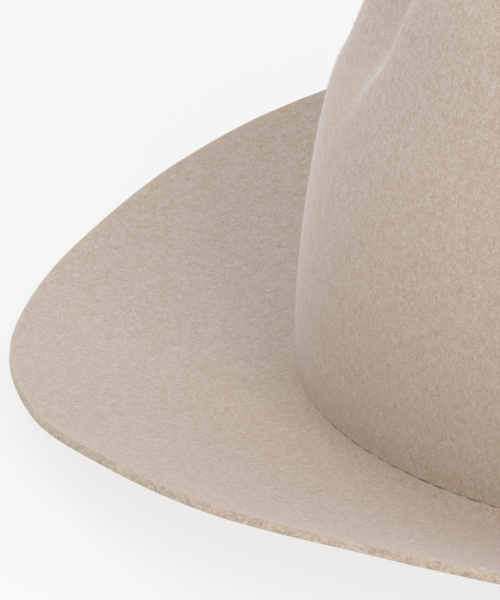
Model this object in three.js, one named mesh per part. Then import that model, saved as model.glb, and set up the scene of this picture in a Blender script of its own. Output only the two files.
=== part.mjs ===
// A crushable fedora of blocked wool felt, in millimetres: +Z is up, the front of the hat faces -Y
// and the wearer's left is +X. Crown and brim are one piece of felt, an open hollow shell. Every
// section through it is an oval, given by the angle round the crown (0 at the front, 90 at the
// wearer's left) and either the height on the crown or the distance out along the brim.
import * as THREE from 'three';

// Driving dimensions.
const FELT_THICKNESS = 2.0;
const FOOT_HALF_LENGTH = 103;      // the crown's outside, where it meets the brim
const FOOT_HALF_WIDTH = 87;
const FILLET_FRONT = 3.6;          // radius between crown and brim at the front and back
const FILLET_SIDE = 4.7;
const BREAK_FRONT = 1.8;           // height of the felt's top face at the foot of the crown
const BREAK_SIDE = 3.5;
const CROWN_SETTLE = 2.5;          // height that the crown's own levels are counted from, at its top
const SETTLE_ROWS = 8;             // rows over which the foot's uneven height fades out
const BRIM_BOW = 0.45;             // share of the brim's rise that is straight, the rest curves up

// The crown, a row for each level: height above its foot, half length to the front and back, half
// width, how much the rim's dip follows, depth of the two front pinches and the angle of the rear
// ridge of each. Rows after the highest one go down into the crease along the top.
const CROWN_LEVELS = [
  { rise: 0, front: 103.0, side: 87.0, back: 103.0, dip: 0.0, pinch: 0.0, ridge: 30 },
  { rise: 20, front: 102.9, side: 86.3, back: 102.4, dip: 0.0, pinch: 0.0, ridge: 30 },
  { rise: 45, front: 100.1, side: 85.0, back: 101.0, dip: 0.0, pinch: 0.0, ridge: 30 },
  { rise: 66, front: 96.2, side: 83.4, back: 99.2, dip: 0.0, pinch: 0.4, ridge: 30 },
  { rise: 77, front: 91.7, side: 82.3, back: 97.9, dip: 0.0, pinch: 3.2, ridge: 30 },
  { rise: 87, front: 88.3, side: 81.0, back: 96.1, dip: 0.1, pinch: 7.0, ridge: 33 },
  { rise: 103, front: 84.1, side: 78.0, back: 92.0, dip: 0.4, pinch: 10.5, ridge: 36 },
  { rise: 113, front: 78.2, side: 74.0, back: 87.0, dip: 0.8, pinch: 12.5, ridge: 39 },
  { rise: 119, front: 73.5, side: 69.0, back: 82.0, dip: 1.0, pinch: 13.0, ridge: 43 },
  { rise: 121, front: 69.0, side: 63.5, back: 77.5, dip: 1.0, pinch: 13.0, ridge: 46 },
  { rise: 118, front: 65.5, side: 56.0, back: 72.0, dip: 1.0, pinch: 12.0, ridge: 49 },
  { rise: 109, front: 61.5, side: 45.0, back: 65.5, dip: 0.8, pinch: 9.0, ridge: 52 },
  { rise: 99, front: 58.0, side: 32.0, back: 59.5, dip: 0.4, pinch: 5.0, ridge: 55 },
  { rise: 93, front: 54.0, side: 19.0, back: 54.0, dip: 0.1, pinch: 1.8, ridge: 58 },
  { rise: 91, front: 50.0, side: 7.0, back: 49.0, dip: 0.0, pinch: 0.0, ridge: 58 },
];
const NOSE_DIP = 7;                // the rim's top is this much lower at the front
const NOSE_DIP_ANGLE = 26;
const BACK_DIP = 9;                // and this much lower at the back
const NOSE_HALF_ANGLE = 4;         // half of the undented nose between the two pinches
const PINCH_SOFTNESS = 0.05;       // roundness of a pinch's rear ridge, as a share of its width
const PINCH_PEAK = 27 / 4;         // brings the deepest place of the pinch's curve to one

// The brim, a row for each place round it: width of felt outward from the crown's foot, and height
// of the felt's top face at the edge. Its sides are snapped up, and its front waves a little.
const BRIM_STATIONS = [
  { angle: 0, width: 64.3, edge: 3.2 },
  { angle: 10, width: 64.2, edge: 3.9 },
  { angle: 20, width: 63.0, edge: 8.4 },
  { angle: 30, width: 62.3, edge: 11.8 },
  { angle: 42, width: 60.9, edge: 17.1 },
  { angle: 56, width: 60.0, edge: 21.0 },
  { angle: 72, width: 58.5, edge: 24.8 },
  { angle: 90, width: 57.5, edge: 24.1 },
  { angle: 115, width: 57.8, edge: 17.1 },
  { angle: 145, width: 58.9, edge: 6.5 },
  { angle: 180, width: 59.4, edge: 3.2 },
  { angle: 215, width: 58.9, edge: 6.6 },
  { angle: 245, width: 57.8, edge: 17.1 },
  { angle: 270, width: 57.5, edge: 23.9 },
  { angle: 292, width: 58.4, edge: 23.6 },
  { angle: 312, width: 60.2, edge: 19.8 },
  { angle: 328, width: 61.9, edge: 14.5 },
  { angle: 340, width: 62.8, edge: 9.4 },
  { angle: 350, width: 63.6, edge: 5.1 },
];

const SWEATBAND_THICKNESS = 1.0;
const SWEATBAND_BOTTOM = 3;        // above the crown's foot, just under the row of stitches
const SWEATBAND_HEIGHT = 34;
const PIECE_GAP = 0.3;

// Fineness of the faceted solids.
const FELT_SIDES = 96;
const FRONT_CROWDING = 0.35;       // facets are this much closer together at the front
const BAND_SIDES = 64;
const BAND_LEVELS = 3;
const NORMAL_STEP = 0.01;
const BRIM_SHARES = [0, 0.12, 0.25, 0.5, 0.75];
const FILLET_SHARES = [0.3, 0.65];
const CROWN_STEPS_OUTSIDE = [
  0.8, 1.5, 2, 2.5, 3, 3.5, 4, 4.5, 5, 5.5, 6, 6.5, 7, 7.5, 8, 8.5, 9, 9.5, 10, 11, 12, 13, 14,
];
const CROWN_STEPS_INSIDE = [0.8, 2, 3, 3.6, 4.2, 4.8, 5.4, 6, 6.7, 7.4, 8.2, 9, 10, 11, 12, 13, 14];

const FELT_COLOUR = 0xbcad9f;
const BAND_COLOUR = 0x4a3f37;

const degrees = THREE.MathUtils.radToDeg;
const lerp = THREE.MathUtils.lerp;

// A smooth curve through four neighbouring values, between the middle two.
function blendFour(before, from, to, after, t) {
  const slope = -before + to;
  const bend = 2 * before - 5 * from + 4 * to - after;
  const twist = -before + 3 * from - 3 * to + after;
  return 0.5 * (2 * from + slope * t + bend * t * t + twist * t * t * t);
}

// One column of the crown's table at a level that may lie between two rows.
function crownValue(column, level) {
  const last = CROWN_LEVELS.length - 1;
  const row = Math.min(Math.floor(level), last - 1);
  const from = CROWN_LEVELS[row][column];
  const to = CROWN_LEVELS[row + 1][column];
  const before = row > 0 ? CROWN_LEVELS[row - 1][column] : 2 * from - to;
  const after = row + 2 <= last ? CROWN_LEVELS[row + 2][column] : 2 * to - from;
  return blendFour(before, from, to, after, level - row);
}

// One column of the brim's table at any angle, round and round.
function brimValue(column, angle) {
  const count = BRIM_STATIONS.length;
  const around = THREE.MathUtils.euclideanModulo(degrees(angle), 360);
  const station = (i) => {
    const turn = Math.floor(i / count);
    const row = BRIM_STATIONS[i - turn * count];
    return { at: row.angle + 360 * turn, value: row[column] };
  };
  let index = count - 1;
  while (BRIM_STATIONS[index].angle > around) index -= 1;
  const [a, b, c, d] = [-1, 0, 1, 2].map((step) => station(index + step));
  const span = c.at - b.at;
  const t = (around - b.at) / span;
  const slopeIn = ((c.value - a.value) / (c.at - a.at)) * span;
  const slopeOut = ((d.value - b.value) / (d.at - b.at)) * span;
  const rest = 1 - t;
  return b.value * (1 + 2 * t) * rest * rest + slopeIn * t * rest * rest
    + c.value * t * t * (3 - 2 * t) - slopeOut * t * t * rest;
}

// A point and its outward direction on an oval with its own front and back half lengths.
function ovalPoint(angle, front, side, back) {
  const length = Math.cos(angle) > 0 ? front : back;
  const point = new THREE.Vector2(side * Math.sin(angle), -length * Math.cos(angle));
  const outward = new THREE.Vector2(Math.sin(angle) / side, -Math.cos(angle) / length).normalize();
  return { point, outward };
}

function filletRadius(angle) {
  return FILLET_SIDE + (FILLET_FRONT - FILLET_SIDE) * Math.abs(Math.cos(angle)) ** 3;
}

function breakHeight(angle) {
  return BREAK_FRONT + (BREAK_SIDE - BREAK_FRONT) * Math.sin(angle) ** 2;
}

// How much lower the rim of the crown's top is at this angle.
function rimDip(angle) {
  const offFront = degrees(Math.atan2(Math.sin(angle), Math.cos(angle)));
  const nose = Math.exp(-((offFront / NOSE_DIP_ANGLE) ** 2));
  return NOSE_DIP * nose + BACK_DIP * (0.5 - 0.5 * Math.cos(angle)) ** 1.5;
}

// Depth of the pinch, as a share of its deepest: steep behind, long and soft towards the nose.
function pinchShare(angle, ridge) {
  const offFront = Math.abs(degrees(Math.atan2(Math.sin(angle), Math.cos(angle))));
  const across = (ridge - offFront) / (ridge - NOSE_HALF_ANGLE);
  const softened = 0.5 * (across + Math.sqrt(across ** 2 + PINCH_SOFTNESS ** 2));
  const t = Math.min(softened, 1);
  return PINCH_PEAK * t * (1 - t) ** 2;
}

function crownPoint(angle, level) {
  const [front, side, back] = ['front', 'side', 'back'].map((column) => crownValue(column, level));
  const { point, outward } = ovalPoint(angle, front, side, back);
  const rise = crownValue('rise', level) - crownValue('dip', level) * rimDip(angle);
  const pinch = crownValue('pinch', level) * pinchShare(angle, crownValue('ridge', level));
  const radius = filletRadius(angle);
  const below = THREE.MathUtils.clamp(radius - rise, 0, radius);
  const flare = radius - Math.sqrt(radius ** 2 - below ** 2);
  point.addScaledVector(outward, flare - pinch);
  const settled = Math.min(level / SETTLE_ROWS, 1);
  return new THREE.Vector3(point.x, point.y, rise + lerp(breakHeight(angle), CROWN_SETTLE, settled));
}

// The quarter round between the brim (share 0) and the crown (share 1).
function filletPoint(angle, share) {
  const { point, outward } = ovalPoint(angle, FOOT_HALF_LENGTH, FOOT_HALF_WIDTH, FOOT_HALF_LENGTH);
  const radius = filletRadius(angle);
  const turn = share * Math.PI / 2;
  point.addScaledVector(outward, radius * (1 - Math.sin(turn)));
  return new THREE.Vector3(point.x, point.y, breakHeight(angle) + radius * (1 - Math.cos(turn)));
}

// The brim's top face, from the foot of the fillet (share 0) to its edge (share 1).
function brimPoint(angle, share) {
  const { point, outward } = ovalPoint(angle, FOOT_HALF_LENGTH, FOOT_HALF_WIDTH, FOOT_HALF_LENGTH);
  const radius = filletRadius(angle);
  const foot = breakHeight(angle);
  const climb = BRIM_BOW * share + (1 - BRIM_BOW) * share ** 2;
  point.addScaledVector(outward, lerp(radius, brimValue('width', angle), share));
  return new THREE.Vector3(point.x, point.y, lerp(foot, brimValue('edge', angle), climb));
}

// The same point on the felt's other face, one thickness through it. The felt never dips below the
// surface that the hat stands on, so it has a flat patch under the front and back of the brim.
function throughFelt(surface, angle, place, inward = 1) {
  const point = surface(angle, place);
  const around = surface(angle + NORMAL_STEP, place).sub(surface(angle - NORMAL_STEP, place));
  const along = surface(angle, place + NORMAL_STEP).sub(surface(angle, place - NORMAL_STEP));
  const normal = around.cross(along).normalize();
  point.addScaledVector(normal, -inward * FELT_THICKNESS);
  point.z = Math.max(point.z, 0);
  return point;
}

// The shell's section at one angle, from the crease down the outside, round the edge and back up.
function feltSection(angle) {
  const outside = [
    ...CROWN_STEPS_OUTSIDE.slice().reverse().map((level) => crownPoint(angle, level)),
    ...[1, ...FILLET_SHARES.slice().reverse()].map((share) => filletPoint(angle, share)),
    ...BRIM_SHARES.map((share) => brimPoint(angle, share)),
    brimPoint(angle, 1),
  ];
  const edge = brimPoint(angle, 1);
  edge.z = Math.max(edge.z - FELT_THICKNESS, 0);
  const inside = [
    edge,
    ...BRIM_SHARES.slice(1).reverse().map((share) => throughFelt(brimPoint, angle, share, -1)),
    ...[0, ...FILLET_SHARES].map((share) => throughFelt(filletPoint, angle, share)),
    ...CROWN_STEPS_INSIDE.map((level) => throughFelt(crownPoint, angle, level)),
  ];
  return [...outside, ...inside];
}

// A closed surface through rings of points. Each end is either zipped across or joined to the other.
function surfaceThroughRings(rings, closure) {
  const sides = rings[0].length;
  const corners = rings.flat().flatMap((point) => point.toArray());
  const faces = [];
  const at = (ring, side) => ring * sides + (side % sides);
  const spans = closure === 'loop' ? rings.length : rings.length - 1;
  for (let ring = 0; ring < spans; ring += 1) {
    const next = (ring + 1) % rings.length;
    for (let side = 0; side < sides; side += 1) {
      faces.push(at(ring, side), at(next, side), at(next, side + 1));
      faces.push(at(ring, side), at(next, side + 1), at(ring, side + 1));
    }
  }
  if (closure === 'zip') {
    faces.push(...zip(0, sides, false), ...zip((rings.length - 1) * sides, sides, true));
  }
  const geometry = new THREE.BufferGeometry();
  geometry.setAttribute('position', new THREE.Float32BufferAttribute(corners, 3));
  geometry.setIndex(faces);
  geometry.computeVertexNormals();
  return geometry;
}

// Closes a ring straight across, from each point to the one that mirrors it.
function zip(first, sides, flipped) {
  const faces = [];
  const add = (a, b, c) => faces.push(first + a, first + (flipped ? c : b), first + (flipped ? b : c));
  for (let left = 0; left < sides / 2; left += 1) {
    const right = (sides - left) % sides;
    const nextRight = sides - left - 1;
    if (left > 0) add(left, left + 1, right);
    if (nextRight !== left + 1) add(left + 1, nextRight, right);
  }
  return faces;
}

function ringAngles(sides, crowding) {
  return Array.from({ length: sides }, (_, side) => {
    const even = side * 2 * Math.PI / sides;
    return even - crowding * Math.sin(even);
  });
}

function feltBody() {
  const sections = ringAngles(FELT_SIDES, FRONT_CROWDING).map(feltSection);
  const rings = sections[0].map((_, index) => sections.map((section) => section[index]));
  const felt = new THREE.MeshStandardMaterial({ color: FELT_COLOUR, roughness: 0.95, metalness: 0 });
  const mesh = new THREE.Mesh(surfaceThroughRings(rings, 'zip'), felt);
  mesh.name = 'felt_body';
  return mesh;
}

// The crown's inside at a height above its foot, set in by the given distance.
function bandPoint(angle, height, inset) {
  const [low, high] = [CROWN_LEVELS[0], CROWN_LEVELS[2]];
  const t = height / high.rise;
  const [front, side, back] = ['front', 'side', 'back'].map((column) => lerp(low[column], high[column], t));
  const { point, outward } = ovalPoint(angle, front, side, back);
  point.addScaledVector(outward, -inset);
  return new THREE.Vector3(point.x, point.y, CROWN_SETTLE + height);
}

function sweatband() {
  const heights = Array.from({ length: BAND_LEVELS }, (_, i) => (
    SWEATBAND_BOTTOM + SWEATBAND_HEIGHT * i / (BAND_LEVELS - 1)));
  const outer = FELT_THICKNESS + PIECE_GAP;
  const inner = outer + SWEATBAND_THICKNESS;
  const angles = ringAngles(BAND_SIDES, 0);
  const ring = (height, inset) => angles.map((angle) => bandPoint(angle, height, inset));
  const rings = [
    ...heights.slice().reverse().map((height) => ring(height, outer)),
    ...heights.map((height) => ring(height, inner)),
  ];
  const cloth = new THREE.MeshStandardMaterial({ color: BAND_COLOUR, roughness: 0.8, metalness: 0 });
  const mesh = new THREE.Mesh(surfaceThroughRings(rings, 'loop'), cloth);
  mesh.name = 'sweatband';
  return mesh;
}

const hat = new THREE.Group();
hat.add(feltBody(), sweatband());

// The origin is under the middle of the hat, on the surface that it rests on.
const box = new THREE.Box3().setFromObject(hat);
const middle = box.getCenter(new THREE.Vector3());
hat.position.set(-middle.x, -middle.y, -box.min.z);
hat.updateMatrixWorld(true);

export default hat;
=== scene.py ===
"""The finished look of a crushable fedora: blocked felt, its stitched sweatband and loose fibres."""

import logging
import math
import random
from dataclasses import dataclass, field
from enum import Enum

import bmesh
import bpy
import numpy as np
from mathutils import Matrix, Vector, kdtree, noise


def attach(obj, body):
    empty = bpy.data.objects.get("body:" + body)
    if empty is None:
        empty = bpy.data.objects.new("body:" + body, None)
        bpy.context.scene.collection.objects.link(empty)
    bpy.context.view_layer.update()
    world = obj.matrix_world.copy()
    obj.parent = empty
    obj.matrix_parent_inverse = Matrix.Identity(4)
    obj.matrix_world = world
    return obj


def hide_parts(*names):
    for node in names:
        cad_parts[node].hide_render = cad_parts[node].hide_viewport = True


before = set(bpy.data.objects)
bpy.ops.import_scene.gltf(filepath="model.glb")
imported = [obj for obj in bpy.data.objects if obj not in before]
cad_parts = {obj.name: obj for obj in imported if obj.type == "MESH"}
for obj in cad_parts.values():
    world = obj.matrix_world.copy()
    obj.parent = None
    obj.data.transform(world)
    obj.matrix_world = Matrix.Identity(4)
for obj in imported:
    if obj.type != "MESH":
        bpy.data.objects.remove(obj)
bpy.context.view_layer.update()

MM = 0.001
BODY = "root"
SMOOTH_ANGLE = math.radians(50)
SHARP_ANGLE = math.radians(60)
log = logging.getLogger("fedora")


class FeltFace(Enum):
    """The material slots of the felt, in the order in which its mesh holds them."""

    NAP = 0
    CUT_EDGE = 1


class HairGround(Enum):
    """Where hairs grow: on the felt's outer face, or out of its raw cut."""

    FACE = "face"
    CUT = "cut"


@dataclass(frozen=True)
class CrownLevel:
    """One level of the crown, in millimetres and degrees.

    Args:
        rise: Height above the crown's foot.
        front: Half length from the middle to the front.
        side: Half width.
        back: Half length from the middle to the back.
        dip: Share of the rim's dip that this level follows.
        pinch: Depth of the two front pinches.
        ridge: Angle off the front of each pinch's rear ridge.
    """

    rise: float
    front: float
    side: float
    back: float
    dip: float
    pinch: float
    ridge: float


@dataclass(frozen=True)
class BrimStation:
    """One place round the brim: its angle, its width and the height of its edge's top face."""

    angle: float
    width: float
    edge: float


CROWN_LEVELS = (
    CrownLevel(rise=0, front=103.0, side=87.0, back=103.0, dip=0.0, pinch=0.0, ridge=30),
    CrownLevel(rise=20, front=102.9, side=86.3, back=102.4, dip=0.0, pinch=0.0, ridge=30),
    CrownLevel(rise=45, front=100.1, side=85.0, back=101.0, dip=0.0, pinch=0.0, ridge=30),
    CrownLevel(rise=66, front=96.2, side=83.4, back=99.2, dip=0.0, pinch=0.4, ridge=30),
    CrownLevel(rise=77, front=91.7, side=82.3, back=97.9, dip=0.0, pinch=3.2, ridge=30),
    CrownLevel(rise=87, front=88.3, side=81.0, back=96.1, dip=0.1, pinch=7.0, ridge=33),
    CrownLevel(rise=103, front=84.1, side=78.0, back=92.0, dip=0.4, pinch=10.5, ridge=36),
    CrownLevel(rise=113, front=78.2, side=74.0, back=87.0, dip=0.8, pinch=12.5, ridge=39),
    CrownLevel(rise=119, front=73.5, side=69.0, back=82.0, dip=1.0, pinch=13.0, ridge=43),
    CrownLevel(rise=121, front=69.0, side=63.5, back=77.5, dip=1.0, pinch=13.0, ridge=46),
    CrownLevel(rise=118, front=65.5, side=56.0, back=72.0, dip=1.0, pinch=12.0, ridge=49),
    CrownLevel(rise=109, front=61.5, side=45.0, back=65.5, dip=0.8, pinch=9.0, ridge=52),
    CrownLevel(rise=99, front=58.0, side=32.0, back=59.5, dip=0.4, pinch=5.0, ridge=55),
    CrownLevel(rise=93, front=54.0, side=19.0, back=54.0, dip=0.1, pinch=1.8, ridge=58),
    CrownLevel(rise=91, front=50.0, side=7.0, back=49.0, dip=0.0, pinch=0.0, ridge=58),
    CrownLevel(rise=90.7, front=48.0, side=0.0, back=47.0, dip=0.0, pinch=0.0, ridge=58),
)
BRIM_STATIONS = (
    BrimStation(angle=0, width=64.3, edge=3.2),
    BrimStation(angle=10, width=64.2, edge=3.9),
    BrimStation(angle=20, width=63.0, edge=8.4),
    BrimStation(angle=30, width=62.3, edge=11.8),
    BrimStation(angle=42, width=60.9, edge=17.1),
    BrimStation(angle=56, width=60.0, edge=21.0),
    BrimStation(angle=72, width=58.5, edge=24.8),
    BrimStation(angle=90, width=57.5, edge=24.1),
    BrimStation(angle=115, width=57.8, edge=17.1),
    BrimStation(angle=145, width=58.9, edge=6.5),
    BrimStation(angle=180, width=59.4, edge=3.2),
    BrimStation(angle=215, width=58.9, edge=6.6),
    BrimStation(angle=245, width=57.8, edge=17.1),
    BrimStation(angle=270, width=57.5, edge=23.9),
    BrimStation(angle=292, width=58.4, edge=23.6),
    BrimStation(angle=312, width=60.2, edge=19.8),
    BrimStation(angle=328, width=61.9, edge=14.5),
    BrimStation(angle=340, width=62.8, edge=9.4),
    BrimStation(angle=350, width=63.6, edge=5.1),
)


@dataclass
class HatForm:
    """The blocked form of the hat, in millimetres. Angles are 0 at the front and 90 at the left.

    The fillet is the round between crown and brim, and the break is the height of the felt's top
    face at the crown's foot. Further up than settle_rows of the crown's table, settle takes the
    break's place. The nose and back dips lower the rim of the crown's top, and the pinches run
    from nose_angle back to their ridges.
    """

    foot_length: float = 103.0
    foot_width: float = 87.0
    fillet_front: float = 3.6
    fillet_side: float = 4.7
    break_front: float = 1.8
    break_side: float = 3.5
    settle: float = 2.5
    settle_rows: float = 8.0
    brim_bow: float = 0.45
    nose_dip: float = 7.0
    nose_dip_angle: float = 26.0
    back_dip: float = 9.0
    nose_angle: float = 4.0
    pinch_softness: float = 0.05
    pinch_peak: float = 27 / 4
    felt: float = 2.0
    fillet_rows: float = 1.2
    fillet_steps: int = 61
    middle: np.ndarray = field(init=False)

    def __post_init__(self) -> None:
        """Finds the middle of the brim's outline, which the frame puts at the origin."""
        self.middle = np.zeros(3)
        ring = self.brim(np.radians(np.arange(0.0, 360.0, 0.5)), 1.0)
        self.middle = np.append((ring.min(0) + ring.max(0))[:2] / 2, 0.0)

    @staticmethod
    def level_value(column: str, level: np.ndarray) -> np.ndarray:
        """Reads a column of the crown's table between its rows.

        Args:
            column: Name of the column.
            level: Row numbers, whole or not.

        Returns:
            The smooth value at each.
        """
        rows = np.array([getattr(row, column) for row in CROWN_LEVELS], float)
        padded = np.concatenate([[2 * rows[0] - rows[1]], rows, [2 * rows[-1] - rows[-2]]])
        base = np.clip(np.floor(level).astype(int), 0, len(rows) - 2)
        t = level - base
        a, b, c, d = (padded[base + step] for step in range(4))
        bend = 2 * a - 5 * b + 4 * c - d
        twist = -a + 3 * b - 3 * c + d
        return 0.5 * (2 * b + (c - a) * t + bend * t * t + twist * t**3)

    @staticmethod
    def station_value(column: str, angle: np.ndarray) -> np.ndarray:
        """Reads a column of the brim's table at any angle.

        Args:
            column: Name of the column.
            angle: Angles in radians.

        Returns:
            The smooth value at each.
        """
        at = np.array([row.angle for row in BRIM_STATIONS], float)
        value = np.array([getattr(row, column) for row in BRIM_STATIONS], float)
        at = np.concatenate([at[-2:] - 360, at, at[:3] + 360])
        value = np.concatenate([value[-2:], value, value[:3]])
        slope = np.gradient(value)
        slope[1:-1] = (value[2:] - value[:-2]) / (at[2:] - at[:-2])
        around = np.mod(np.degrees(angle), 360.0)
        base = np.searchsorted(at, around, side="right") - 1
        span = at[base + 1] - at[base]
        t = (around - at[base]) / span
        rest = 1 - t
        start = value[base] * (1 + 2 * t) * rest**2 + slope[base] * span * t * rest**2
        end = value[base + 1] * t**2 * (3 - 2 * t) - slope[base + 1] * span * t**2 * rest
        return start + end

    @staticmethod
    def oval(angle: np.ndarray, front: np.ndarray, side: np.ndarray, back: np.ndarray) -> tuple:
        """Gives points on an oval and the directions straight out of it.

        Args:
            angle: Angles in radians.
            front: Half length to the front.
            side: Half width.
            back: Half length to the back.

        Returns:
            The points and the unit directions, two columns each.
        """
        length = np.where(np.cos(angle) > 0, front, back)
        point = np.stack([side * np.sin(angle), -length * np.cos(angle)], -1)
        outward = np.stack([np.sin(angle) * length, -np.cos(angle) * side], -1)
        size = np.maximum(np.linalg.norm(outward, axis=-1, keepdims=True), 1e-9)
        return point, outward / size

    def fillet_radius(self, angle: np.ndarray) -> np.ndarray:
        """Gives the radius between crown and brim at each angle."""
        return self.fillet_side + (self.fillet_front - self.fillet_side) * np.abs(np.cos(angle)) ** 3

    def fillet_end(self, angle: np.ndarray) -> np.ndarray:
        """Gives the row of the crown's table at which the fillet ends, at each angle."""
        rows = np.linspace(0.0, self.fillet_rows, self.fillet_steps)
        return np.interp(self.fillet_radius(angle), self.level_value("rise", rows), rows)

    def break_height(self, angle: np.ndarray) -> np.ndarray:
        """Gives the height of the felt's top face at the crown's foot at each angle."""
        return self.break_front + (self.break_side - self.break_front) * np.sin(angle) ** 2

    def rim_dip(self, angle: np.ndarray) -> np.ndarray:
        """Gives how much lower the rim of the crown's top is at each angle."""
        off_front = np.degrees(np.arctan2(np.sin(angle), np.cos(angle)))
        nose = np.exp(-((off_front / self.nose_dip_angle) ** 2))
        return self.nose_dip * nose + self.back_dip * (0.5 - 0.5 * np.cos(angle)) ** 1.5

    def pinch_share(self, angle: np.ndarray, ridge: np.ndarray) -> np.ndarray:
        """Gives the pinch's depth as a share of its deepest place.

        Args:
            angle: Angles in radians.
            ridge: Angle of the pinch's rear ridge, in degrees.

        Returns:
            Shares from 0 to 1.
        """
        off_front = np.abs(np.degrees(np.arctan2(np.sin(angle), np.cos(angle))))
        across = (ridge - off_front) / (ridge - self.nose_angle)
        t = np.minimum(0.5 * (across + np.sqrt(across**2 + self.pinch_softness**2)), 1.0)
        return self.pinch_peak * t * (1 - t) ** 2

    def crown(self, angle: np.ndarray, level: np.ndarray) -> np.ndarray:
        """Gives points on the crown's outside.

        Args:
            angle: Angles in radians.
            level: Row numbers of the crown's table.

        Returns:
            Three columns, in millimetres in the frame.
        """
        angle, level = np.broadcast_arrays(angle, level)
        sizes = (self.level_value(name, level) for name in ("front", "side", "back"))
        point, outward = self.oval(angle, *sizes)
        rise = self.level_value("rise", level) - self.level_value("dip", level) * self.rim_dip(angle)
        ridge = self.level_value("ridge", level)
        pinch = self.level_value("pinch", level) * self.pinch_share(angle, ridge)
        radius = self.fillet_radius(angle)
        below = np.clip(radius - rise, 0, radius)
        flare = radius - np.sqrt(radius**2 - below**2)
        point = point + outward * (flare - pinch)[..., None]
        settled = np.minimum(level / self.settle_rows, 1)
        height = rise + self.break_height(angle) * (1 - settled) + self.settle * settled
        return np.concatenate([point, height[..., None]], -1) - self.middle

    def fillet(self, angle: np.ndarray, share: np.ndarray) -> np.ndarray:
        """Gives points on the quarter round between brim (share 0) and crown (share 1).

        Args:
            angle: Angles in radians.
            share: How far round, from 0 to 1.

        Returns:
            Three columns, in millimetres in the frame.
        """
        angle, share = np.broadcast_arrays(angle, share)
        point, outward = self.oval(angle, self.foot_length, self.foot_width, self.foot_length)
        radius = self.fillet_radius(angle)
        turn = share * math.pi / 2
        point = point + outward * (radius * (1 - np.sin(turn)))[..., None]
        height = self.break_height(angle) + radius * (1 - np.cos(turn))
        return np.concatenate([point, height[..., None]], -1) - self.middle

    def brim(self, angle: np.ndarray, share: float) -> np.ndarray:
        """Gives points on the brim's top face, from the fillet (share 0) to its edge (share 1).

        Args:
            angle: Angles in radians.
            share: How far out, from 0 to 1.

        Returns:
            Three columns, in millimetres in the frame.
        """
        angle, share = np.broadcast_arrays(angle, np.asarray(share, float))
        point, outward = self.oval(angle, self.foot_length, self.foot_width, self.foot_length)
        radius = self.fillet_radius(angle)
        out = radius + (self.station_value("width", angle) - radius) * share
        climb = self.brim_bow * share + (1 - self.brim_bow) * share**2
        foot = self.break_height(angle)
        height = foot + (self.station_value("edge", angle) - foot) * climb
        point = point + outward * out[..., None]
        return np.concatenate([point, height[..., None]], -1) - self.middle

    def stitch_share(self, angle: np.ndarray, rise: float) -> np.ndarray:
        """Gives the fillet's share at which it is this much above the crown's foot."""
        cosine = np.clip(1 - rise / self.fillet_radius(angle), 0, 1)
        return np.arccos(cosine) * 2 / math.pi


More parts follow.
